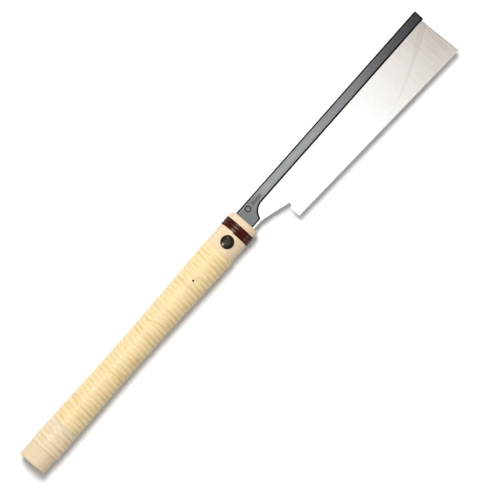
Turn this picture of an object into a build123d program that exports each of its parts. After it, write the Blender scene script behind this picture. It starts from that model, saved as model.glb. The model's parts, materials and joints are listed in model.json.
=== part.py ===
from build123d import *
from math import cos, radians, sin, sqrt
import os

# Japanese back saw with a rattan-wrapped handle, lying on its side.
# +X runs from the butt to the toe, +Y towards the back of the blade, +Z square to the blade.
# In every size below x is measured from the butt, y from the handle's long axis
# and z from the middle of the blade plate. The origin is under the middle of the whole saw.

# Handle: an oval bar with a waist, two halves glued together on the blade's plane
handle_length = 333.3
butt_width = 32.6
butt_thickness = 24.6
waist_x = 150.0
waist_width = 29.5
waist_thickness = 23.6
mouth_width = 35.0
thickest_x = 290.0
front_thickness = 26.6
butt_rounding = 1.6
mouth_rounding = 2.2
station_spacing = 18.0

# Rattan wrap: two strips wound one after the other
strip_pitch = 5.35
strip_thickness = 1.15
strip_valley = 0.45
strip_gap = 0.1
wrap_start = 19.5
rear_turns = 6
main_turns = 45
crown_edge = 0.12
crown_shoulder = 0.8

# Binding near the mouth, wound in a shallow groove
binding_start = 315.0
binding_pitch = 3.65
binding_turns = 3
binding_groove = 0.6
binding_rise = 0.62
binding_valley = 0.1
groove_cutter_wall = 5.0

# Blade plate
plate_thickness = 0.3
tooth_pitch = 1.0
tooth_count = 240
tooth_depth = 1.25
tooth_lean = 0.12
tooth_line_slope = 2.53
heel_corner = (375.1, -38.3)
heel_edge_top = -24.7
relief_tip = (378.6, -22.5)
neck_end = (375.3, -20.3)
neck_middle = (360.0, -15.45)
neck_start = (345.0, -11.7)
tail_bottom = -11.3
tail_end = 291.0
tail_fork_width = 8.2
plate_top = 11.6
toe_top_x = 611.7

# Back: steel folded over the plate, deeper towards the handle
back_end = 615.1
back_top = 13.1
back_height = 12.0
back_thickness = 2.6
back_edge_radius = 1.0
back_corner_radius = 1.1
fold_clearance = 0.01
fold_root = 0.1
flare_height = 22.7
flare_end = 346.2
flare_radius = 14.5
flare_arc_end = (347.2, -7.4)
tang_end = 288.0
tang_fork_width = 7.6

# Socket let into the handle: a folded sleeve with a tongue behind it
socket_front = 330.8
socket_rear = 284.0
socket_wall = 1.2
socket_gap = 2.7
socket_bottom = -11.8
socket_ceiling = 13.5
tongue_end = 245.0
tongue_height = 12.0
mouth_gap = 3.4

# Clamp screw and its nut
screw_x = 304.5
screw_radius = 2.5
screw_tip = -6.0
screw_tip_chamfer = 0.6
thread_clearance = 0.05
shank_clearance = 0.3
head_radius = 7.25
head_clearance = 0.4
head_rim = 0.7
head_height = 2.7
head_seat = 11.8
seat_clearance = 0.05
recess_length = 7.4
recess_width = 1.5
recess_depth = 1.9
recess_angle = 20
recess_taper = 8
barrel_radius = 3.5
barrel_top = 6.0
barrel_end_clearance = 0.6
shoulder_width = 8.0
shoulder_top = -8.45
nut_clearance = 0.3
thread_bottom = -8.6
nut_seat = -11.6
flange_radius = 6.5
flange_thickness = 1.15
bore_radius = 3.8

# Nail through the wrap and the socket's tongue
nail_x = 251.2
nail_radius = 0.85
nail_head_radius = 1.15
nail_head_height = 0.5
nail_tip = -8.0
nail_hole_radius = 0.9
nail_hole_clearance = 0.3


def swell(x, butt, waist, front, front_x):
    """A size of the handle at x: it eases from the butt down to the waist and up to full size at front_x."""
    if x < waist_x:
        run = (waist_x - x) / waist_x
        return waist + (butt - waist) * run * run * (3 - 2 * run)
    run = min((x - waist_x) / (front_x - waist_x), 1.0)
    return waist + (front - waist) * run * run * (3 - 2 * run)


def oval_radii(x, margin=0.0):
    """Half the handle's width and thickness at x, grown by margin."""
    half_width = swell(x, butt_width, waist_width, mouth_width, handle_length) / 2
    half_thickness = swell(x, butt_thickness, waist_thickness, front_thickness, thickest_x) / 2
    return half_width + margin, half_thickness + margin


# Extents that set the origin: the wrap's last turn is the widest and thickest place
wrap_join = wrap_start + rear_turns * strip_pitch
last_crown = wrap_join + (main_turns - 0.5) * strip_pitch
outer_half_width, outer_half_thickness = oval_radii(last_crown, strip_thickness)
toe_corner_y = heel_corner[1] - tooth_count * tooth_pitch * sin(radians(tooth_line_slope))
butt_x = -back_end / 2
axis_y = -(outer_half_width + toe_corner_y) / 2
plate_z = outer_half_thickness


def level(z=0.0):
    """The plane at height z above the blade plate, with x from the butt and y from the handle's axis."""
    return Plane(origin=(butt_x, axis_y, plate_z + z))


def across(x):
    """The plane square to the handle at x from the butt."""
    return Plane(origin=(butt_x + x, axis_y, plate_z), x_dir=(0, 1, 0), z_dir=(1, 0, 0))


def stations(start, end):
    """Evenly spaced places from start to end."""
    steps = max(1, round((end - start) / station_spacing))
    return [start + (end - start) * step / steps for step in range(steps + 1)]


def crown_stations(start, pitch, turns, valley, rise):
    """Places and heights that follow the crowned outside of a wound strip, turn by turn."""
    shoulder = crown_shoulder * rise
    crown = ((0.0, valley), (crown_edge, shoulder), (0.5, rise), (1 - crown_edge, shoulder))
    places = [
        (start + (turn + place) * pitch, height)
        for turn in range(turns)
        for place, height in crown
    ]
    return places + [(start + turns * pitch, valley)]


# Blade: tooth line by formula, then up the toe, along the top, round the tail and down the neck
def tooth_line_points():
    """Tips and gullets from the heel corner to the toe corner."""
    along = Vector(cos(radians(tooth_line_slope)), -sin(radians(tooth_line_slope)))
    inward = Vector(sin(radians(tooth_line_slope)), cos(radians(tooth_line_slope)))
    heel = Vector(*heel_corner)
    points = [heel]
    for tooth in range(tooth_count):
        gullet = (tooth + 0.5 - tooth_lean) * tooth_pitch
        points.append(heel + along * gullet + inward * tooth_depth)
        points.append(heel + along * ((tooth + 1) * tooth_pitch))
    return points


with BuildPart() as saw_blade:
    with BuildSketch(level()) as plate_outline:
        with BuildLine() as plate_edge:
            teeth = Polyline(*tooth_line_points())
            Polyline(
                teeth @ 1,
                (toe_top_x, plate_top),
                (tail_end, plate_top),
                (tail_end, tail_bottom),
                neck_start,
            )
            ThreePointArc(neck_start, neck_middle, neck_end)
            ThreePointArc(neck_end, relief_tip, (heel_corner[0], heel_edge_top))
            Line((heel_corner[0], heel_edge_top), teeth @ 0)
        make_face()
        with Locations((screw_x, 0)):
            Circle(tail_fork_width / 2, mode=Mode.SUBTRACT)
            Rectangle(
                screw_x - tail_end + 1,
                tail_fork_width,
                align=(Align.MAX, Align.CENTER),
                mode=Mode.SUBTRACT,
            )
    extrude(amount=plate_thickness / 2, both=True)
saw_blade.part.label = "saw_blade"


# Back: folded strip, flared at the handle, with a forked tang and a slot for the plate
back_bottom = back_top - back_height
flare_bottom = back_top - flare_height
arc_drop = back_bottom - flare_arc_end[1]
flare_arc_start = flare_arc_end[0] + sqrt(flare_radius**2 - (flare_radius - arc_drop) ** 2)

with BuildPart() as blade_back:
    with BuildSketch(level()) as back_outline:
        with BuildLine() as back_edge:
            flare_arc = TangentArc((flare_arc_start, back_bottom), flare_arc_end, tangent=(-1, 0))
            Polyline(
                flare_arc @ 1,
                (flare_end, flare_bottom),
                (tang_end, flare_bottom),
                (tang_end, back_top),
                (back_end, back_top),
                (back_end, back_bottom),
                flare_arc @ 0,
            )
        make_face()
        fillet(back_outline.vertices().group_by(Axis.X)[-1], back_corner_radius)
        fillet(back_outline.vertices().group_by(Axis.X)[0], back_corner_radius)
        fillet(back_outline.vertices().sort_by_distance((flare_end, flare_bottom))[0], back_corner_radius)
    extrude(amount=back_thickness / 2, both=True)
    fillet(blade_back.faces().sort_by(Axis.Z)[-1].edges(), back_edge_radius)
    fillet(blade_back.faces().sort_by(Axis.Z)[0].edges(), back_edge_radius)
    with BuildSketch(level()) as fold_slot:
        with Locations((tang_end - 1, flare_bottom - 1)):
            Rectangle(
                back_end - tang_end + 2,
                plate_top - flare_bottom + 1 + fold_root,
                align=(Align.MIN, Align.MIN),
            )
    extrude(amount=plate_thickness / 2 + fold_clearance, both=True, mode=Mode.SUBTRACT)
    with BuildSketch(level()) as tang_fork:
        with Locations((screw_x, 0)):
            Circle(tang_fork_width / 2)
            Rectangle(screw_x - tang_end + 1, tang_fork_width, align=(Align.MAX, Align.CENTER))
    extrude(amount=back_thickness, both=True, mode=Mode.SUBTRACT)
blade_back.part.label = "blade_back"


# Handle: one oval blank, grooved for the binding, then split into halves
with BuildPart() as handle_blank:
    for x in stations(0.0, handle_length):
        with BuildSketch(across(x)):
            Ellipse(*oval_radii(x))
    loft()
    fillet(handle_blank.faces().sort_by(Axis.X)[0].edges(), butt_rounding)
    fillet(handle_blank.faces().sort_by(Axis.X)[-1].edges(), mouth_rounding)
    with BuildSketch(across(binding_start)):
        Ellipse(*oval_radii(binding_start, groove_cutter_wall))
        Ellipse(*oval_radii(binding_start, -binding_groove), mode=Mode.SUBTRACT)
    extrude(amount=binding_turns * binding_pitch, mode=Mode.SUBTRACT)


def socket_outline():
    """Side view of the socket: the sleeve round the tang, and the tongue behind it."""
    with BuildSketch(level()) as outline:
        with Locations((socket_rear, socket_bottom)):
            Rectangle(
                socket_front - socket_rear,
                socket_ceiling + socket_wall - socket_bottom,
                align=(Align.MIN, Align.MIN),
            )
        with Locations((tongue_end, 0)):
            Rectangle(socket_rear - tongue_end, tongue_height, align=(Align.MIN, Align.CENTER))
        fillet(outline.vertices().group_by(Axis.X)[0], tongue_height / 4)
    return outline.sketch


def mouth_outline():
    """Opening in the wood in front of the socket, which the tang passes through."""
    with BuildSketch(level()) as outline:
        with Locations((socket_front, socket_bottom)):
            Rectangle(
                handle_length - socket_front + 1,
                socket_ceiling - socket_bottom,
                align=(Align.MIN, Align.MIN),
            )
    return outline.sketch


def round_at(x, radius, z):
    """A circle on the handle's axis at x, at height z above the plate."""
    with BuildSketch(level(z)) as circle:
        with Locations((x, 0)):
            Circle(radius)
    return circle.sketch


socket_depth = socket_gap / 2 + socket_wall
outside = front_thickness

with BuildPart() as handle_upper_half:
    add(handle_blank.part)
    split(bisect_by=level(), keep=Keep.TOP)
    extrude(socket_outline(), amount=socket_depth, mode=Mode.SUBTRACT)
    extrude(mouth_outline(), amount=mouth_gap / 2, mode=Mode.SUBTRACT)
    extrude(round_at(screw_x, bore_radius, 0), amount=barrel_top + barrel_end_clearance, mode=Mode.SUBTRACT)
    extrude(round_at(screw_x, screw_radius + shank_clearance, 0), amount=outside, mode=Mode.SUBTRACT)
    extrude(round_at(screw_x, head_radius + head_clearance, head_seat), amount=outside, mode=Mode.SUBTRACT)
    extrude(round_at(nail_x, nail_hole_radius, 0), amount=outside, mode=Mode.SUBTRACT)
handle_upper_half.part.label = "handle_upper_half"

with BuildPart() as handle_lower_half:
    add(handle_blank.part)
    split(bisect_by=level(), keep=Keep.BOTTOM)
    extrude(socket_outline(), amount=-socket_depth, mode=Mode.SUBTRACT)
    extrude(mouth_outline(), amount=-mouth_gap / 2, mode=Mode.SUBTRACT)
    extrude(round_at(screw_x, bore_radius, 0), amount=-outside, mode=Mode.SUBTRACT)
    extrude(round_at(screw_x, flange_radius + nut_clearance, nut_seat), amount=-outside, mode=Mode.SUBTRACT)
    with BuildSketch(level(nut_seat)) as shoulder_recess:
        with Locations((screw_x, 0)):
            Rectangle(shoulder_width + nut_clearance, shoulder_width + nut_clearance)
    extrude(amount=shoulder_top + nut_clearance - nut_seat, mode=Mode.SUBTRACT)
    extrude(round_at(nail_x, nail_hole_radius, 0), amount=nail_tip - nail_hole_clearance, mode=Mode.SUBTRACT)
handle_lower_half.part.label = "handle_lower_half"


# Socket: solid outline with the gap for the tang cut through it, holes for the nut and the nail
with BuildPart() as blade_socket:
    extrude(socket_outline(), amount=socket_depth, both=True)
    with BuildSketch(level()) as tang_gap:
        with Locations((tongue_end - 1, socket_bottom - 1)):
            Rectangle(
                socket_front - tongue_end + 2,
                socket_ceiling - socket_bottom + 1,
                align=(Align.MIN, Align.MIN),
            )
    extrude(amount=socket_gap / 2, both=True, mode=Mode.SUBTRACT)
    fillet(blade_socket.edges().filter_by(Axis.X).group_by(Axis.Y)[-1], socket_wall)
    extrude(round_at(screw_x, bore_radius, 0), amount=outside, both=True, mode=Mode.SUBTRACT)
    extrude(round_at(nail_x, nail_hole_radius, 0), amount=outside, both=True, mode=Mode.SUBTRACT)
blade_socket.part.label = "blade_socket"


# Rattan: each strip is wound edge to edge, so its outside is a row of low crowns
def wound_strip(start, turns):
    """Closed sleeve of turns wound on the handle from start."""
    with BuildPart() as sleeve:
        for x, rise in crown_stations(start, strip_pitch, turns, strip_valley, strip_thickness):
            with BuildSketch(across(x)):
                Ellipse(*oval_radii(x, rise))
        loft(ruled=True)
        for x in stations(start, start + turns * strip_pitch):
            with BuildSketch(across(x)):
                Ellipse(*oval_radii(x, strip_gap))
        loft(mode=Mode.SUBTRACT)
    return sleeve.part


with BuildPart() as rattan_wrap_rear:
    add(wound_strip(wrap_start, rear_turns))
rattan_wrap_rear.part.label = "rattan_wrap_rear"

with BuildPart() as rattan_wrap_main:
    add(wound_strip(wrap_join, main_turns))
    extrude(round_at(nail_x, nail_hole_radius, 0), amount=outside, mode=Mode.SUBTRACT)
rattan_wrap_main.part.label = "rattan_wrap_main"

with BuildPart() as front_binding:
    for x, rise in crown_stations(binding_start, binding_pitch, binding_turns, binding_valley, binding_rise):
        with BuildSketch(across(x)):
            Ellipse(*oval_radii(x, rise))
    loft(ruled=True)
    with BuildSketch(across(binding_start)):
        Ellipse(*oval_radii(binding_start, -binding_groove))
    extrude(amount=binding_turns * binding_pitch, mode=Mode.SUBTRACT)
front_binding.part.label = "front_binding"


# Clamp screw: domed head with a cross recess on a plain-shanked M5 screw
dome_rise = head_height - head_rim
dome_radius = (head_radius**2 + dome_rise**2) / (2 * dome_rise)
head_bottom = head_seat + seat_clearance
screw_plane = Plane(origin=(butt_x + screw_x, axis_y, plate_z), x_dir=(1, 0, 0), z_dir=(0, -1, 0))

with BuildPart() as clamp_screw:
    with BuildSketch(screw_plane) as screw_half:
        with BuildLine():
            Polyline(
                (0, head_bottom + head_height),
                (0, screw_tip),
                (screw_radius - screw_tip_chamfer, screw_tip),
                (screw_radius, screw_tip + screw_tip_chamfer),
                (screw_radius, head_bottom),
                (head_radius, head_bottom),
                (head_radius, head_bottom + head_rim),
            )
            RadiusArc((head_radius, head_bottom + head_rim), (0, head_bottom + head_height), -dome_radius)
        make_face()
    revolve(axis=Axis(screw_plane.origin, (0, 0, 1)))
    with BuildSketch(level(head_bottom + head_height)) as cross:
        with Locations((screw_x, 0)):
            Rectangle(recess_length, recess_width, rotation=recess_angle)
            Rectangle(recess_width, recess_length, rotation=recess_angle)
    extrude(amount=-recess_depth, taper=recess_taper, mode=Mode.SUBTRACT)
clamp_screw.part.label = "clamp_screw"

with BuildPart() as sleeve_nut:
    extrude(round_at(screw_x, barrel_radius, shoulder_top), amount=barrel_top - shoulder_top)
    with BuildSketch(level(shoulder_top)) as shoulder:
        with Locations((screw_x, 0)):
            Rectangle(shoulder_width, shoulder_width)
    extrude(amount=nut_seat - seat_clearance - shoulder_top)
    extrude(round_at(screw_x, flange_radius, nut_seat - seat_clearance), amount=-flange_thickness)
    fillet(sleeve_nut.edges().group_by(Axis.Z)[0], flange_thickness / 3)
    extrude(
        round_at(screw_x, screw_radius + thread_clearance, thread_bottom),
        amount=outside,
        mode=Mode.SUBTRACT,
    )
sleeve_nut.part.label = "sleeve_nut"


# Nail: driven through the wrap, the upper half and the socket's tongue into the lower half
nail_head_bottom = oval_radii(nail_x, strip_thickness)[1]
nail_plane = Plane(origin=(butt_x + nail_x, axis_y, plate_z), x_dir=(1, 0, 0), z_dir=(0, -1, 0))

with BuildPart() as socket_nail:
    with BuildSketch(nail_plane) as nail_half:
        Polygon(
            (0, nail_tip),
            (nail_radius, nail_tip + 2 * nail_radius),
            (nail_radius, nail_head_bottom),
            (nail_head_radius, nail_head_bottom),
            (nail_head_radius, nail_head_bottom + nail_head_height / 2),
            (nail_radius, nail_head_bottom + nail_head_height),
            (0, nail_head_bottom + nail_head_height),
            align=None,
        )
    revolve(axis=Axis(nail_plane.origin, (0, 0, 1)))
socket_nail.part.label = "socket_nail"


os.makedirs("parts", exist_ok=True)
export_step(saw_blade.part, "parts/saw_blade.step")
export_step(blade_back.part, "parts/blade_back.step")
export_step(handle_upper_half.part, "parts/handle_upper_half.step")
export_step(handle_lower_half.part, "parts/handle_lower_half.step")
export_step(blade_socket.part, "parts/blade_socket.step")
export_step(socket_nail.part, "parts/socket_nail.step")
export_step(rattan_wrap_rear.part, "parts/rattan_wrap_rear.step")
export_step(rattan_wrap_main.part, "parts/rattan_wrap_main.step")
export_step(front_binding.part, "parts/front_binding.step")
export_step(clamp_screw.part, "parts/clamp_screw.step")
export_step(sleeve_nut.part, "parts/sleeve_nut.step")
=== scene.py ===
import json
import math
import random

import bpy
from mathutils import Matrix, Vector

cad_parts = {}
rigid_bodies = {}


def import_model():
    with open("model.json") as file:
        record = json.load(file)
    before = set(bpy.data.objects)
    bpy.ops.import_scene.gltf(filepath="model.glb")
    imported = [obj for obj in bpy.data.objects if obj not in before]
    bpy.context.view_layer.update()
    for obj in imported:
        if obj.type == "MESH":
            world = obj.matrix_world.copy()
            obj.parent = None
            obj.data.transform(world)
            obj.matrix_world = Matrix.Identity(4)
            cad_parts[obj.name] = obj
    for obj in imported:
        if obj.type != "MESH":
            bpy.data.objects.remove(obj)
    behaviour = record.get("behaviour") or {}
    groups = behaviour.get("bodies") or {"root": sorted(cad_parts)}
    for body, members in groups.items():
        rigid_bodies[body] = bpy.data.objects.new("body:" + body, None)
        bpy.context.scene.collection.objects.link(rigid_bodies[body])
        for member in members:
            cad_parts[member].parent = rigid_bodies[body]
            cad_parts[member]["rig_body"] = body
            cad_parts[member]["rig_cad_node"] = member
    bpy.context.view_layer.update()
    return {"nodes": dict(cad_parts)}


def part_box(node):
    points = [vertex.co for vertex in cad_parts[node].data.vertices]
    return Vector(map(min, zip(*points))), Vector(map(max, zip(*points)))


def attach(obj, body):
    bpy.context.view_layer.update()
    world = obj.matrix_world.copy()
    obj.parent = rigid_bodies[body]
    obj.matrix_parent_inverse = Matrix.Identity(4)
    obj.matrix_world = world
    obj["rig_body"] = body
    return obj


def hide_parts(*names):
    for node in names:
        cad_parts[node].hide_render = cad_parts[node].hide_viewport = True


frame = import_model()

# The bare wood of the handle: two halves of a pale, straight-grained softwood, glued on the
# blade's plane, shaped to an oval and fine sanded. It shows at the butt, round the clamp screw
# and at the mouth, and its growth rings run lengthways and end as arcs on the two ends.
plate_low, plate_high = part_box("saw_blade")
plate_z = (plate_low.z + plate_high.z) / 2
handle_low, handle_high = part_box("handle_upper_half")
butt_x = handle_low.x
mouth_x = handle_high.x
axis_y = (handle_low.y + handle_high.y) / 2


def new_material(name):
    """A new material, its shader, and two functions: add makes a node, and feed links a value
    to one of the shader's sockets. A socket is given by name, or as _ and its number."""
    material = bpy.data.materials.new(name)
    material.use_nodes = True
    tree = material.node_tree
    tree.nodes.clear()
    output = tree.nodes.new("ShaderNodeOutputMaterial")
    shader = tree.nodes.new("ShaderNodeBsdfPrincipled")
    tree.links.new(shader.outputs["BSDF"], output.inputs["Surface"])

    def add(kind, settings=None, **sockets):
        node = tree.nodes.new("ShaderNode" + kind)
        for key, value in (settings or {}).items():
            setattr(node, key, value)
        for key, value in sockets.items():
            by_number = key[1:].isdigit()
            socket = node.inputs[int(key[1:]) if by_number else key.replace("_", " ")]
            if isinstance(value, bpy.types.NodeSocket):
                tree.links.new(value, socket)
            else:
                socket.default_value = value
        return node

    def feed(value, socket_name):
        tree.links.new(value, shader.inputs[socket_name])

    return material, shader, add, feed


def ramp(add, factor, *stops):
    """A colour ramp with its stops as (place, colour)."""
    node = add("ValToRGB", Fac=factor)
    elements = node.color_ramp.elements
    while len(elements) < len(stops):
        elements.new(0.5)
    for element, (place, colour) in zip(elements, stops):
        element.position = place
        element.color = (*colour, 1.0) if len(colour) == 3 else (colour[0],) * 3 + (1.0,)
    return node.outputs["Color"]


def mix(add, factor, first, second, blend_type="MIX"):
    """Two colours mixed by factor."""
    node = add("Mix", {"data_type": "RGBA", "blend_type": blend_type}, _0=factor, _6=first, _7=second)
    return node.outputs[2]


def math_node(add, operation, first, second=0.5, third=0.5, clamp=False):
    """One sum on one to three numbers."""
    node = add("Math", {"operation": operation, "use_clamp": clamp}, _0=first, _1=second, _2=third)
    return node.outputs[0]


def put_on(piece, material):
    """The material on every face of the piece."""
    piece.data.materials.clear()
    piece.data.materials.append(material)


wood, shader, add, feed = new_material("pale_straight_grained_wood")
place = add("TexCoord").outputs["Object"]
pith_aside = 0.055
pith_above = 0.03
pith = add(
    "Mapping", Vector=place, Location=(0, pith_aside - axis_y, -plate_z - pith_above), Scale=(0.05, 1, 1)
)
rings = add(
    "TexWave",
    {"wave_type": "RINGS", "rings_direction": "X", "wave_profile": "SAW"},
    Vector=pith.outputs[0],
    Scale=170.0,
    Distortion=1.2,
    Detail=3.0,
    Detail_Scale=1.4,
    Detail_Roughness=0.6,
)
fibre_place = add("Mapping", Vector=place, Scale=(14, 900, 900))
fibres = add("TexNoise", Vector=fibre_place.outputs[0], Scale=1.0, Detail=6.0, Roughness=0.62)
band_place = add("Mapping", Vector=place, Scale=(9, 120, 120))
bands = add("TexNoise", Vector=band_place.outputs[0], Scale=1.0, Detail=3.0)
ring_colour = ramp(
    add,
    rings.outputs["Fac"],
    (0.0, (0.70, 0.575, 0.42)),
    (0.7, (0.68, 0.55, 0.39)),
    (0.95, (0.60, 0.455, 0.29)),
)
fibre_colour = ramp(add, fibres.outputs["Fac"], (0.32, (0.86, 0.82, 0.76)), (0.60, (1.0, 1.0, 1.0)))
band_colour = ramp(add, bands.outputs["Fac"], (0.3, (0.90, 0.86, 0.80)), (0.7, (1.0, 1.0, 1.0)))
colour = mix(add, 0.7, ring_colour, fibre_colour, "MULTIPLY")
colour = mix(add, 0.6, colour, band_colour, "MULTIPLY")
split_place = add("SeparateXYZ", Vector=place)
from_glue = math_node(add, "ABSOLUTE", math_node(add, "SUBTRACT", split_place.outputs["Z"], plate_z))
glue_reach = 0.0004
glue = ramp(add, math_node(add, "MULTIPLY", from_glue, 1 / glue_reach), (0.12, (1.0,)), (0.45, (0.0,)))
colour = mix(add, math_node(add, "MULTIPLY", glue, 0.45), colour, (0.42, 0.27, 0.13, 1.0))
feed(colour, "Base Color")
roughness = ramp(add, fibres.outputs["Fac"], (0.3, (0.62,)), (0.7, (0.48,)))
feed(roughness, "Roughness")
shader.inputs["Specular IOR Level"].default_value = 0.35
grain = add("Bump", Strength=0.22, Distance=0.0002, Height=fibres.outputs["Fac"])
feed(grain.outputs[0], "Normal")
put_on(frame["nodes"]["handle_upper_half"], wood)
put_on(frame["nodes"]["handle_lower_half"], wood)


# The rattan wrap: split cane, skin outwards, wound edge to edge round the grip. Each strip
# starts and ends in a long taper, so that the winding is square at both ends. The six turns
# nearest the butt are of a paler cane than the rest.
waist_at = 0.150
grip_widths = (0.0326, 0.0295, 0.0350, mouth_x - butt_x)
grip_thicknesses = (0.0246, 0.0236, 0.0266, 0.290)
steps_round = 72
profile_points = 18
edge_squareness = 0.75
edge_height = 0.30
crown_wander = 0.035
wanders_a_turn = 3
full_at_share = 0.45
tip_height = 0.35
least_width = 0.0002
random.seed(11)


def swell(x, sizes):
    """Half the grip's size at x from the butt, from its sizes at the butt and the waist, and its
    full size in front and where that is reached."""
    butt, waist, front, front_at = sizes
    if x < waist_at:
        run = (waist_at - x) / waist_at
        return (waist + (butt - waist) * run * run * (3 - 2 * run)) / 2
    run = min((x - waist_at) / (front_at - waist_at), 1.0)
    return (waist + (front - waist) * run * run * (3 - 2 * run)) / 2


def leave_nothing_selected():
    if bpy.context.object and bpy.context.object.mode != "OBJECT":
        bpy.ops.object.mode_set(mode="OBJECT")
    bpy.ops.object.select_all(action="DESELECT")


def wind_strip(
    name, start, end, turns, crown, seat, play, first_angle, way=1, cut_end=0.0, first_gap=0.0
):
    """A crowned strip wound from start to end, in metres from the butt, square at both ends.
    Its underside lies at seat above the wood and its crown at crown. Way is the hand of the
    winding and play is how far a turn strays sideways. The strip tapers to nothing at its ends,
    unless cut_end says how much of a turn's taper is cut off, and first_gap stands open between
    its first two whole turns."""
    leave_nothing_selected()
    pitch = (end - start) / turns
    edge_gap = 0.001 * pitch
    bpy.ops.mesh.primitive_circle_add(
        vertices=profile_points,
        radius=pitch / 2,
        location=(butt_x + start, 0, 0.02),
        rotation=(math.pi / 2, 0, 0),
    )
    strip = bpy.context.object
    strip.name = name
    strip.data.name = name
    bpy.ops.object.transform_apply(location=True, rotation=True, scale=True)
    winding = strip.modifiers.new("winding", "SCREW")
    winding.axis = "X"
    winding.screw_offset = pitch
    winding.iterations = turns + 1
    winding.steps = steps_round
    winding.render_steps = steps_round
    winding.use_smooth_shade = True
    bpy.ops.object.modifier_apply(modifier="winding")

    wander_count = wanders_a_turn * (turns + 4)
    wander = [(random.uniform(-1, 1), random.uniform(-1, 1)) for _ in range(wander_count)]
    along = []
    across = []
    for vertex in strip.data.vertices:
        ring, point = divmod(vertex.index, profile_points)
        turn = cut_end + ring / steps_round * (1 - cut_end / (turns + 1))
        angle = 2 * math.pi * (point + 0.5) / profile_points
        side, up = math.cos(angle), math.sin(angle)
        share = 0.5 - 0.5 * math.copysign(abs(side) ** edge_squareness, side)
        height = 1.0 - (1.0 - edge_height) * (2 * share - 1) ** 2 if up > 0 else 0.0
        low = max(start, start + pitch * (turn - 1))
        high = min(end, start + pitch * turn)
        stretch, part = divmod(turn * wanders_a_turn, 1)
        ease = part * part * (3 - 2 * part)
        before, after = wander[int(stretch)], wander[int(stretch) + 1]
        drift = before[0] + (after[0] - before[0]) * ease
        puff = before[1] + (after[1] - before[1]) * ease
        room = max(high - low, least_width)
        fullness = min(1.0, room / (full_at_share * pitch))
        inside = 0.0 if low <= start or high >= end else drift * play * pitch * 0.5
        if 2 < turn < 3:
            low += first_gap * math.sin((turn - 2) * math.pi)
        x = low + inside + edge_gap + (room - 2 * edge_gap) * share
        top = crown * (1 - crown_wander + crown_wander * puff)
        rise = seat + (top - seat) * height * (tip_height + (1 - tip_height) * fullness)
        turned = way * 2 * math.pi * turn + first_angle
        vertex.co = (
            butt_x + x,
            axis_y - (swell(x, grip_widths) + rise) * math.cos(turned),
            plate_z + (swell(x, grip_thicknesses) + rise) * math.sin(turned),
        )
        along.append(turn * math.pi * swell(x, grip_widths) * 2)
        across.append(share if up > 0 else 1.0)
    uv = strip.data.uv_layers.new(name="along_strip")
    for loop in strip.data.loops:
        uv.data[loop.index].uv = (along[loop.vertex_index], across[loop.vertex_index])

    bpy.ops.object.mode_set(mode="EDIT")
    bpy.ops.mesh.select_all(action="DESELECT")
    bpy.ops.mesh.select_mode(type="EDGE")
    bpy.ops.mesh.select_non_manifold()
    bpy.ops.mesh.edge_face_add()
    bpy.ops.mesh.select_all(action="SELECT")
    bpy.ops.mesh.normals_make_consistent(inside=False)
    bpy.ops.object.mode_set(mode="OBJECT")
    bpy.ops.object.shade_smooth_by_angle(angle=math.radians(60))
    return strip


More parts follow.
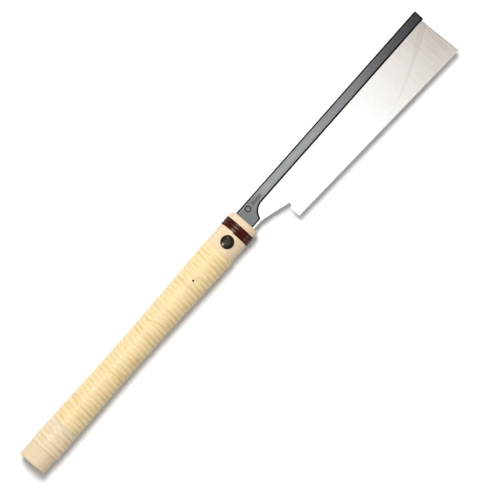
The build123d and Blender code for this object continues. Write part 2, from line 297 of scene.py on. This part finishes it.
def cane(name, skin, shade, scar, bleached_from):
    """Split cane: long fibres, a waxy skin, and now and then a node. Where the turns meet it is darker, as
    painted shade, most of all on the -Y side, away from the light, which is also tinted a deeper yellow as
    painted shade. From bleached_from, in metres along the strip, it is nearly white."""
    material, shader, add, feed = new_material(name)
    uv = add("UVMap", {"uv_map": "along_strip"}).outputs[0]
    fibre_place = add("Mapping", Vector=uv, Scale=(70, 26, 1))
    fibres = add("TexNoise", Vector=fibre_place.outputs[0], Scale=1.0, Detail=6.0, Roughness=0.65)
    length_place = add("Mapping", Vector=uv, Scale=(17, 0.35, 1))
    lengths = add("TexNoise", Vector=length_place.outputs[0], Scale=1.0, Detail=3.0, Roughness=0.7)
    split_uv = add("SeparateXYZ", Vector=uv)
    dull_skin = tuple(channel * 0.96 for channel in skin)
    colour = ramp(add, lengths.outputs["Fac"], (0.26, shade), (0.46, skin), (0.70, dull_skin))
    bleach_rate = 25.0
    bleached = math_node(
        add, "MULTIPLY_ADD", split_uv.outputs["X"], bleach_rate, -bleach_rate * bleached_from, clamp=True
    )
    bleached_skin = (0.68, 0.60, 0.46, 1.0)
    colour = mix(add, math_node(add, "MULTIPLY", bleached, 0.75), colour, bleached_skin)
    fibre_colour = ramp(add, fibres.outputs["Fac"], (0.34, (0.74, 0.66, 0.52)), (0.54, (1.0, 1.0, 1.0)))
    colour = mix(add, 0.7, colour, fibre_colour, "MULTIPLY")
    # Painted shade: darker where the turns meet, most of all on the -Y side away from the light, and that
    # side tinted a deeper yellow.
    from_middle = math_node(add, "ABSOLUTE", math_node(add, "SUBTRACT", split_uv.outputs["Y"], 0.5))
    edge = ramp(add, from_middle, (0.34, (0.0,)), (0.49, (1.0,)))
    place = add("SeparateXYZ", Vector=add("TexCoord").outputs["Object"])
    shaded_side = math_node(add, "SUBTRACT", axis_y, place.outputs["Y"])
    shaded_side = math_node(add, "MULTIPLY_ADD", shaded_side, 55.0, -0.25, clamp=True)
    painted_gap_shade = math_node(add, "MULTIPLY", edge, math_node(add, "MULTIPLY_ADD", shaded_side, 0.75, 0.08))
    gap_shade_colour = (0.26, 0.175, 0.055, 1.0)
    colour = mix(add, painted_gap_shade, colour, gap_shade_colour)
    side_shade_tint = (1.0, 0.97, 0.84, 1.0)
    painted_side_shade = math_node(add, "MULTIPLY", shaded_side, 0.8)
    colour = mix(add, painted_side_shade, colour, side_shade_tint, "MULTIPLY")
    scar_place = add("Mapping", Vector=uv, Scale=(5.5, 0.05, 1))
    scars = add("TexNoise", Vector=scar_place.outputs[0], Scale=1.0, Detail=0.0)
    scar_mask = ramp(add, scars.outputs["Fac"], (0.485, (0.0,)), (0.5, (1.0,)), (0.515, (0.0,)))
    colour = mix(add, math_node(add, "MULTIPLY", scar_mask, 0.28), colour, (*scar, 1.0))
    feed(colour, "Base Color")
    feed(ramp(add, fibres.outputs["Fac"], (0.3, (0.48,)), (0.7, (0.30,))), "Roughness")
    shader.inputs["Specular IOR Level"].default_value = 0.5
    shader.inputs["Coat Weight"].default_value = 0.12
    shader.inputs["Coat Roughness"].default_value = 0.30
    grain = add("Bump", Strength=0.4, Distance=0.0001, Height=fibres.outputs["Fac"])
    feed(grain.outputs[0], "Normal")
    return material


wrap_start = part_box("rattan_wrap_rear")[0].x - butt_x
wrap_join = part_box("rattan_wrap_main")[0].x - butt_x
wrap_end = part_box("rattan_wrap_main")[1].x - butt_x
strip_crown = 0.00113
strip_seat = 0.00012
strip_play = 0.02
tip_angle = -3.2
rear_turns = 6
main_turns = 45
past_the_end = 90.0
rear_wrap = wind_strip(
    "rattan_turns_rear",
    wrap_start,
    wrap_join,
    rear_turns,
    strip_crown,
    strip_seat,
    strip_play,
    tip_angle,
    first_gap=0.0005,
)
pale_cane = cane(
    "pale_cane",
    skin=(0.71, 0.585, 0.39),
    shade=(0.63, 0.49, 0.29),
    scar=(0.45, 0.28, 0.12),
    bleached_from=0.50,
)
put_on(rear_wrap, pale_cane)
main_wrap = wind_strip(
    "rattan_turns_main", wrap_join, wrap_end, main_turns, strip_crown, strip_seat, strip_play, tip_angle
)
golden_cane = cane(
    "golden_cane",
    skin=(0.74, 0.585, 0.325),
    shade=(0.64, 0.475, 0.215),
    scar=(0.40, 0.25, 0.09),
    bleached_from=past_the_end,
)
put_on(main_wrap, golden_cane)
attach(rear_wrap, "handle")
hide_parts("rattan_wrap_rear")
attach(main_wrap, "handle")
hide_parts("rattan_wrap_main")


# The front binding: three turns of a narrower strip, stained dark red-brown and lacquered,
# pulled tight in a shallow groove to keep the mouth from splitting. It is wound the other way
# from the grip, and its first end is cut off short, on top of the handle.
binding_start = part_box("front_binding")[0].x - butt_x
binding_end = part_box("front_binding")[1].x - butt_x
binding_turns = 3
binding_crown = 0.00061
binding_seat = -0.0005
binding_play = 0.03
cut_off = 0.33
binding_angle = 1.69 + 2 * math.pi * cut_off
binding = wind_strip(
    "lacquered_binding",
    binding_start,
    binding_end,
    binding_turns,
    binding_crown,
    binding_seat,
    binding_play,
    binding_angle,
    way=-1,
    cut_end=cut_off,
)
lacquer, shader, add, feed = new_material("dark_red_lacquer")
uv = add("UVMap", {"uv_map": "along_strip"}).outputs[0]
streak_place = add("Mapping", Vector=uv, Scale=(45, 9, 1))
streaks = add("TexNoise", Vector=streak_place.outputs[0], Scale=1.0, Detail=5.0, Roughness=0.6)
colour = ramp(
    add,
    streaks.outputs["Fac"],
    (0.3, (0.020, 0.003, 0.002)),
    (0.55, (0.050, 0.006, 0.003)),
    (0.75, (0.10, 0.018, 0.009)),
)
# Painted shade: each turn darker towards its edges, where the turns meet.
split_uv = add("SeparateXYZ", Vector=uv)
from_middle = math_node(add, "ABSOLUTE", math_node(add, "SUBTRACT", split_uv.outputs["Y"], 0.5))
edge = ramp(add, from_middle, (0.36, (0.0,)), (0.49, (1.0,)))
colour = mix(add, math_node(add, "MULTIPLY", edge, 0.7), colour, (0.012, 0.004, 0.004, 1.0))
# Painted highlights: two lighter bands on the crowns of the turns on top, one near the middle and one near
# the edge on the teeth side.
crown = ramp(add, from_middle, (0.08, (1.0,)), (0.24, (0.0,)))
place = add("SeparateXYZ", Vector=add("TexCoord").outputs["Object"])
on_top = math_node(add, "GREATER_THAN", place.outputs["Z"], plate_z)
crown = math_node(add, "MULTIPLY", crown, on_top)
for highlight_y, highlight_length, highlight_share in ((0.0034, 0.0045, 0.42), (-0.0120, 0.0022, 0.30)):
    away = math_node(add, "SUBTRACT", place.outputs["Y"], axis_y + highlight_y)
    near = math_node(add, "DIVIDE", math_node(add, "ABSOLUTE", away), highlight_length)
    near = math_node(add, "SUBTRACT", 1.0, near, clamp=True)
    painted_highlight = math_node(add, "MULTIPLY", math_node(add, "MULTIPLY", near, crown), highlight_share)
    colour = mix(add, painted_highlight, colour, (0.42, 0.33, 0.30, 1.0))
feed(colour, "Base Color")
feed(ramp(add, streaks.outputs["Fac"], (0.3, (0.40,)), (0.7, (0.24,))), "Roughness")
shader.inputs["Specular IOR Level"].default_value = 0.05
shader.inputs["Coat Weight"].default_value = 0.18
shader.inputs["Coat Roughness"].default_value = 0.12
ripple = add("Bump", Strength=0.25, Distance=0.0001, Height=streaks.outputs["Fac"])
feed(ripple.outputs[0], "Normal")
put_on(binding, lacquer)
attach(binding, "handle")
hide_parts("front_binding")


# The blade: cold-rolled steel plate 0.3 mm thick, ground bright. Its teeth are punched
# and filed: each tip is bevelled to a point on one face and set to that side, left and right in turn.
blade_node = frame["nodes"]["saw_blade"]
leave_nothing_selected()
blade_node.select_set(True)
bpy.context.view_layer.objects.active = blade_node
bpy.ops.object.duplicate()
blade = bpy.context.object
blade.name = "toothed_plate"
blade.data.name = "toothed_plate"
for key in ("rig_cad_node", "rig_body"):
    del blade[key]
blade.parent = None
bpy.ops.object.mode_set(mode="EDIT")
bpy.ops.mesh.select_all(action="SELECT")
bpy.ops.mesh.remove_doubles(threshold=0.000002)
bpy.ops.mesh.customdata_custom_splitnormals_clear()
bpy.ops.mesh.dissolve_limited(angle_limit=math.radians(0.5))
bpy.ops.mesh.select_all(action="SELECT")

heel_from_butt = 0.3751
heel_below_axis = 0.0383
heel = Vector((butt_x + heel_from_butt, axis_y - heel_below_axis, plate_z))
tooth_slope = math.radians(2.53)
along_teeth = Vector((math.cos(tooth_slope), -math.sin(tooth_slope), 0))
into_plate = Vector((math.sin(tooth_slope), math.cos(tooth_slope), 0))
tooth_depth = 0.00125
tooth_pitch = 0.001
tooth_count = 240
gullet_margin = 0.00005
near_gullets = heel + into_plate * (tooth_depth - gullet_margin)
bpy.ops.mesh.bisect(plane_co=near_gullets, plane_no=into_plate)
bpy.ops.object.mode_set(mode="OBJECT")
set_out = 0.00006
bevelled_tip = 0.00004
half_plate = plate_high.z - plate_z
for vertex in blade.data.vertices:
    from_heel = vertex.co - heel
    depth = from_heel.dot(into_plate)
    if depth < 0.1 * tooth_depth:
        tooth = round(from_heel.dot(along_teeth) / tooth_pitch)
        if 0 < tooth < tooth_count:
            side = 1 if tooth % 2 else -1
            on_set_side = (vertex.co.z - plate_z) * side > 0
            from_plane = half_plate + set_out if on_set_side else bevelled_tip
            vertex.co.z = plate_z + side * from_plane
bpy.ops.object.shade_smooth_by_angle(angle=math.radians(12))

bright, shader, add, feed = new_material("bright_ground_steel")
place = add("TexCoord").outputs["Object"]
line_place = add("Mapping", Vector=place, Scale=(500, 12, 500))
lines = add("TexNoise", Vector=line_place.outputs[0], Scale=1.0, Detail=5.0, Roughness=0.7)
cloud_place = add("Mapping", Vector=place, Scale=(22, 22, 22))
clouds = add("TexNoise", Vector=cloud_place.outputs[0], Scale=1.0, Detail=3.0)
colour = ramp(add, lines.outputs["Fac"], (0.3, (0.87, 0.865, 0.855)), (0.7, (0.96, 0.96, 0.958)))
tint = ramp(add, clouds.outputs["Fac"], (0.35, (0.93, 0.90, 0.875)), (0.65, (1.0, 1.0, 1.0)))
colour = mix(add, 0.8, colour, tint, "MULTIPLY")

# Two bluish-grey streaks cross the toe diagonally, and a thin grey line runs along the toe edge.
toe_streak_half_width = 0.0022
toe_streak_length = 0.15
toe_line_width = 0.0008
warm_length = 0.11
split_place = add("SeparateXYZ", Vector=place)
from_toe = math_node(add, "SUBTRACT", plate_high.x, split_place.outputs["X"])
below_axis = math_node(add, "SUBTRACT", axis_y, split_place.outputs["Y"])
toe_streaks = None
for start_depth, slope, bend in ((0.0023, 0.512, 1.35), (-0.003, 0.62, 1.9)):
    sag = math_node(add, "MULTIPLY", from_toe, math_node(add, "MULTIPLY", from_toe, -bend))
    line_depth = math_node(add, "MULTIPLY_ADD", from_toe, slope, math_node(add, "ADD", sag, start_depth))
    away = math_node(add, "ABSOLUTE", math_node(add, "SUBTRACT", below_axis, line_depth))
    toe_streak = math_node(add, "SUBTRACT", 1.0, math_node(add, "DIVIDE", away, toe_streak_half_width), clamp=True)
    toe_streaks = toe_streak if toe_streaks is None else math_node(add, "MAXIMUM", toe_streaks, toe_streak)
fading = math_node(add, "SUBTRACT", 1.0, math_node(add, "DIVIDE", from_toe, toe_streak_length), clamp=True)
toe_streaks = math_node(add, "MULTIPLY", math_node(add, "MULTIPLY", toe_streaks, fading), 0.45)
colour = mix(add, toe_streaks, colour, (0.60, 0.65, 0.66, 1.0))
toe_slant = 0.0524
above_point = math_node(add, "SUBTRACT", split_place.outputs["Y"], plate_low.y)
from_toe_edge = math_node(add, "MULTIPLY_ADD", above_point, -toe_slant, from_toe)
toe_line = math_node(add, "LESS_THAN", from_toe_edge, toe_line_width)
colour = mix(add, math_node(add, "MULTIPLY", toe_line, 0.6), colour, (0.42, 0.42, 0.41, 1.0))
# Painted reflection: the steel is tinted warmer towards the toe.
warm_share = math_node(add, "DIVIDE", from_toe, warm_length)
towards_toe = math_node(add, "SUBTRACT", 1.0, warm_share, clamp=True)
colour = mix(add, towards_toe, colour, (1.0, 0.935, 0.875, 1.0), "MULTIPLY")
feed(colour, "Base Color")
shader.inputs["Metallic"].default_value = 1.0
rough = mix(add, 0.35, lines.outputs["Fac"], clouds.outputs["Fac"])
feed(ramp(add, rough, (0.3, (0.14,)), (0.7, (0.20,))), "Roughness")
ground = add("Bump", Strength=0.05, Distance=0.00005, Height=lines.outputs["Fac"])
feed(ground.outputs[0], "Normal")
put_on(blade, bright)
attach(blade, "blade_unit")
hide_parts("saw_blade")


# The back: steel strip folded over the plate and blackened, its two faces brushed lengthways to a satin
# gunmetal.
# Along the back the faces' tone is painted reflection, and the rounded edges and a band along them are
# painted near black, as painted dark reflection. A plain ring and a row of short bars are etched beside
# the handle.
gunmetal, shader, add, feed = new_material("brushed_gunmetal")
back_low, back_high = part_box("blade_back")
place = add("TexCoord").outputs["Object"]
brush_place = add("Mapping", Vector=place, Scale=(11, 1500, 40))
brushing = add("TexNoise", Vector=brush_place.outputs[0], Scale=1.0, Detail=5.0, Roughness=0.65)
cloud_place = add("Mapping", Vector=place, Scale=(16, 40, 40))
clouds = add("TexNoise", Vector=cloud_place.outputs[0], Scale=1.0, Detail=3.0)
split_place = add("SeparateXYZ", Vector=place)
# Painted reflection: the faces' tone along the back, darker by the handle, lightest midway and near black
# at the toe.
shaded_from = butt_x + 0.35
along_back = math_node(add, "SUBTRACT", split_place.outputs["X"], shaded_from)
share_along = math_node(add, "DIVIDE", along_back, back_high.x - shaded_from, clamp=True)
painted_reflection_tone = ramp(
    add,
    share_along,
    (0.0, (0.26, 0.275, 0.285)),
    (0.08, (0.42, 0.44, 0.45)),
    (0.30, (0.43, 0.445, 0.45)),
    (0.55, (0.34, 0.34, 0.35)),
    (0.80, (0.165, 0.165, 0.172)),
    (1.0, (0.075, 0.075, 0.08)),
)
brush_tone = ramp(add, brushing.outputs["Fac"], (0.3, (0.82, 0.82, 0.82)), (0.7, (1.12, 1.12, 1.12)))
face_colour = mix(add, 1.0, painted_reflection_tone, brush_tone, "MULTIPLY")
tint = ramp(add, clouds.outputs["Fac"], (0.3, (0.90, 0.92, 0.94)), (0.7, (1.0, 0.98, 0.96)))
face_colour = mix(add, 0.8, face_colour, tint, "MULTIPLY")
# Painted dark reflection: the rounded edges, and a narrow band along the fold, the lip, the end and the
# heel, are near black.
from_plate = math_node(add, "ABSOLUTE", math_node(add, "SUBTRACT", split_place.outputs["Z"], plate_z))
half_back = (back_high.z - back_low.z) / 2
rounding_depth = 0.00004
rounded = math_node(add, "SUBTRACT", half_back, from_plate)
rounded = math_node(add, "DIVIDE", rounded, rounding_depth, clamp=True)
from_fold = math_node(add, "SUBTRACT", back_high.y, split_place.outputs["Y"])
from_heel = math_node(add, "SUBTRACT", split_place.outputs["Y"], back_low.y)
from_end = math_node(add, "SUBTRACT", back_high.x, split_place.outputs["X"])
sweep_radius = 0.0145
sweep_from_butt = 0.3604
back_height = 0.012
lip = 0.0004
sweep_x = math_node(add, "SUBTRACT", split_place.outputs["X"], butt_x + sweep_from_butt)
sweep_x = math_node(add, "MINIMUM", sweep_x, 0.0)
sweep_y = math_node(add, "SUBTRACT", split_place.outputs["Y"], back_high.y - back_height - sweep_radius)
sweep_x = math_node(add, "MULTIPLY", sweep_x, sweep_x)
sweep_y = math_node(add, "MULTIPLY", sweep_y, sweep_y)
from_lip = math_node(add, "SQRT", math_node(add, "ADD", sweep_x, sweep_y))
from_lip = math_node(add, "SUBTRACT", from_lip, sweep_radius + lip)
from_edge = math_node(add, "MINIMUM", math_node(add, "MINIMUM", from_fold, from_lip), from_end)
from_edge = math_node(add, "MINIMUM", from_edge, from_heel)
from_edge = math_node(add, "MULTIPLY_ADD", clouds.outputs["Fac"], 0.0004, from_edge)
band_width = 0.0018
band_blur = 0.0002
edge_band = math_node(add, "SUBTRACT", band_width, from_edge)
edge_band = math_node(add, "DIVIDE", edge_band, band_blur, clamp=True)
painted_dark_edges = math_node(add, "MAXIMUM", rounded, edge_band)
colour = mix(add, painted_dark_edges, face_colour, (0.014, 0.014, 0.015, 1.0))
device = Vector((butt_x + 0.3515, axis_y + 0.0068, 0))
ring_before = 0.0065
ring_radius = 0.0029
ring_half_width = 0.0006
bar_spacing = 0.0006
bar_half_width = 0.00030
bars_half_length = 0.0068
bars_half_height = 0.0017
from_device_x = math_node(add, "SUBTRACT", split_place.outputs["X"], device.x)
from_device_y = math_node(add, "SUBTRACT", split_place.outputs["Y"], device.y)
ring_x = math_node(add, "ADD", from_device_x, ring_before)
square_x = math_node(add, "MULTIPLY", ring_x, ring_x)
square_y = math_node(add, "MULTIPLY", from_device_y, from_device_y)
reach = math_node(add, "SQRT", math_node(add, "ADD", square_x, square_y))
from_ring = math_node(add, "ABSOLUTE", math_node(add, "SUBTRACT", reach, ring_radius))
ring = math_node(add, "LESS_THAN", from_ring, ring_half_width)
hatch = math_node(add, "PINGPONG", from_device_x, bar_spacing)
hatch = math_node(add, "LESS_THAN", hatch, bar_half_width)
from_bar_x = math_node(add, "SUBTRACT", from_device_x, bars_half_length)
in_bar_x = math_node(add, "LESS_THAN", math_node(add, "ABSOLUTE", from_bar_x), bars_half_length)
in_bar_y = math_node(add, "LESS_THAN", math_node(add, "ABSOLUTE", from_device_y), bars_half_height)
bars = math_node(add, "MULTIPLY", math_node(add, "MULTIPLY", hatch, in_bar_x), in_bar_y)
mark = math_node(add, "MAXIMUM", ring, bars)
colour = mix(add, math_node(add, "MULTIPLY", mark, 0.9), colour, (0.015, 0.015, 0.018, 1.0))
feed(colour, "Base Color")
shader.inputs["Metallic"].default_value = 1.0
feed(ramp(add, brushing.outputs["Fac"], (0.3, (0.42,)), (0.7, (0.30,))), "Roughness")
brushed = add("Bump", Strength=0.12, Distance=0.00005, Height=brushing.outputs["Fac"])
feed(brushed.outputs[0], "Normal")
put_on(frame["nodes"]["blade_back"], gunmetal)


# Screw, nut and nail: turned and headed steel, blackened in hot oil. The edges of the screw's cross
# recess are lighter.
black, shader, add, feed = new_material("blackened_steel")
place = add("TexCoord").outputs["Object"]
speckle = add("TexNoise", Vector=place, Scale=1400.0, Detail=4.0, Roughness=0.6)
clouds = add("TexNoise", Vector=place, Scale=260.0, Detail=3.0)
colour = ramp(add, speckle.outputs["Fac"], (0.35, (0.022, 0.020, 0.013)), (0.65, (0.050, 0.046, 0.030)))
wear = ramp(add, clouds.outputs["Fac"], (0.55, (0.0,)), (0.75, (1.0,)))
colour = mix(add, math_node(add, "MULTIPLY", wear, 0.25), colour, (0.10, 0.09, 0.065, 1.0))
screw_low, screw_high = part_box("clamp_screw")
screw_middle = (screw_low + screw_high) / 2
recess_turn = math.radians(-20)
half_slot = 0.00075
slot_reach = 0.0037
light_edge_offset = 0.0002
light_edge_half_width = 0.0003
head_seat = 0.0118
from_screw = add(
    "VectorMath", {"operation": "SUBTRACT"}, _0=place, _1=(screw_middle.x, screw_middle.y, plate_z)
)
turned = add("VectorRotate", {"rotation_type": "Z_AXIS"}, Vector=from_screw.outputs[0], Angle=recess_turn)
folded = add("VectorMath", {"operation": "ABSOLUTE"}, _0=turned.outputs[0])
folded = add("SeparateXYZ", Vector=folded.outputs[0])
narrow = math_node(add, "MINIMUM", folded.outputs["X"], folded.outputs["Y"])
long_way = math_node(add, "MAXIMUM", folded.outputs["X"], folded.outputs["Y"])
slot_edge = math_node(add, "ABSOLUTE", math_node(add, "SUBTRACT", narrow, half_slot + light_edge_offset))
slot_edge = math_node(add, "LESS_THAN", slot_edge, light_edge_half_width)
in_reach = math_node(add, "LESS_THAN", long_way, slot_reach)
in_head = math_node(add, "GREATER_THAN", folded.outputs["Z"], head_seat)
bright_edge = math_node(add, "MULTIPLY", math_node(add, "MULTIPLY", slot_edge, in_reach), in_head)
colour = mix(add, math_node(add, "MULTIPLY", bright_edge, 0.55), colour, (0.24, 0.22, 0.17, 1.0))
feed(colour, "Base Color")
shader.inputs["Metallic"].default_value = 0.85
feed(ramp(add, speckle.outputs["Fac"], (0.3, (0.34,)), (0.7, (0.22,))), "Roughness")
pitted = add("Bump", Strength=0.1, Distance=0.00005, Height=speckle.outputs["Fac"])
feed(pitted.outputs[0], "Normal")
for node_name in ("clamp_screw", "sleeve_nut", "socket_nail"):
    put_on(frame["nodes"][node_name], black)


# The socket: folded sheet steel, zinc plated, let into both halves of the handle. Its sides
# hold the tang of the blade's back, and the nail passes through its tongue.
zinc, shader, add, feed = new_material("zinc_plated_sheet")
place = add("TexCoord").outputs["Object"]
spangle = add("TexVoronoi", Vector=place, Scale=420.0)
stain = add("TexNoise", Vector=place, Scale=90.0, Detail=4.0)
colour = ramp(add, spangle.outputs["Distance"], (0.1, (0.56, 0.57, 0.58)), (0.6, (0.70, 0.71, 0.72)))
stain_colour = ramp(add, stain.outputs["Fac"], (0.35, (0.78, 0.77, 0.74)), (0.65, (1.0, 1.0, 1.0)))
feed(mix(add, 0.7, colour, stain_colour, "MULTIPLY"), "Base Color")
shader.inputs["Metallic"].default_value = 1.0
feed(ramp(add, stain.outputs["Fac"], (0.3, (0.52,)), (0.7, (0.36,))), "Roughness")
put_on(frame["nodes"]["blade_socket"], zinc)


# The bench: a plain, pale, matt sheet laid flat under the saw, and far wider than the saw. It
# lies a hair below the lowest turn of the wrap.
leave_nothing_selected()
bench_size = 8
bench_drop = 0.0002
bpy.ops.mesh.primitive_plane_add(size=bench_size, location=(0, 0, -bench_drop))
bench = bpy.context.object
bench.name = "pale_bench"
bpy.ops.object.transform_apply(location=True)
paper, shader, add, feed = new_material("pale_paper")
place = add("TexCoord").outputs["Object"]
mottle = add("TexNoise", Vector=place, Scale=300.0, Detail=3.0)
feed(ramp(add, mottle.outputs["Fac"], (0.3, (0.885,)), (0.7, (0.905,))), "Base Color")
shader.inputs["Roughness"].default_value = 0.9
shader.inputs["Specular IOR Level"].default_value = 0.1
put_on(bench, paper)


# The light: one soft lamp high towards the toe and the back, which shades but does not glint, a
# broad ceiling that the plate mirrors, two small lamps that only glint, and an even pale room.
def soft_lamp(name, aim, direction, distance, size, watts):
    """A soft oblong lamp at that distance from aim, in that direction, facing aim."""
    lamp = bpy.data.lights.new(name, "AREA")
    lamp.shape = "RECTANGLE"
    lamp.size, lamp.size_y = size
    lamp.energy = watts
    holder = bpy.data.objects.new(name, lamp)
    bpy.context.scene.collection.objects.link(holder)
    towards = Vector(direction).normalized()
    holder.location = Vector(aim) + towards * distance
    holder.rotation_euler = towards.to_track_quat("Z", "Y").to_euler()
    holder.visible_camera = False
    return holder


middle = Vector((0, 0, plate_z))
key_lamp = soft_lamp("key_lamp", middle, (0.17, 0.345, 0.923), 2.0, (0.75, 0.80), 46.0)
key_lamp.visible_glossy = False
ceiling_edge = 0.69
ceiling_length = 1.8
under_ceiling = Vector((ceiling_edge - ceiling_length / 2, 0, plate_z))
soft_lamp("ceiling", under_ceiling, (0.0, 0.0, 1.0), 3.2, (ceiling_length, 1.6), 9.0)
for name, direction, watts in (
    ("butt_lamp", (-0.60, 0.28, 0.74), 18.0),
    ("toe_lamp", (0.50, 0.35, 0.79), 2.5),
):
    glint_lamp = soft_lamp(name, middle, direction, 1.8, (0.25, 0.25), watts)
    glint_lamp.visible_diffuse = False
world = bpy.data.worlds.new("pale_room")
world.use_nodes = True
background = world.node_tree.nodes["Background"]
background.inputs["Color"].default_value = (1.0, 1.0, 1.0, 1.0)
background.inputs["Strength"].default_value = 0.34
bpy.context.scene.world = world
bpy.context.scene.view_settings.view_transform = "Standard"

# The camera: a long lens nearly overhead, a little towards the butt, with the saw lying
# from lower left to upper right.
camera_data = bpy.data.cameras.new("camera")
camera = bpy.data.objects.new("camera", camera_data)
bpy.context.scene.collection.objects.link(camera)
target = Vector((butt_x + 0.31502, axis_y - 0.01712, plate_z))
camera.location = target + Vector((-0.192, 0.0, 3.5))
backward = (camera.location - target).normalized()
saw_axis = (Vector((1, 0, 0)) - backward * backward.x).normalized()
saw_side = backward.cross(saw_axis)
slant = math.radians(48.555)
right = saw_axis * math.cos(slant) - saw_side * math.sin(slant)
up = saw_axis * math.sin(slant) + saw_side * math.cos(slant)
camera.rotation_euler = Matrix((right, up, backward)).transposed().to_euler()
sensor_width = 36.0
view_width = 0.50979
camera_data.sensor_width = sensor_width
camera_data.lens = sensor_width * (camera.location - target).length / view_width
camera_data.clip_end = 20.0
bpy.context.scene.camera = camera
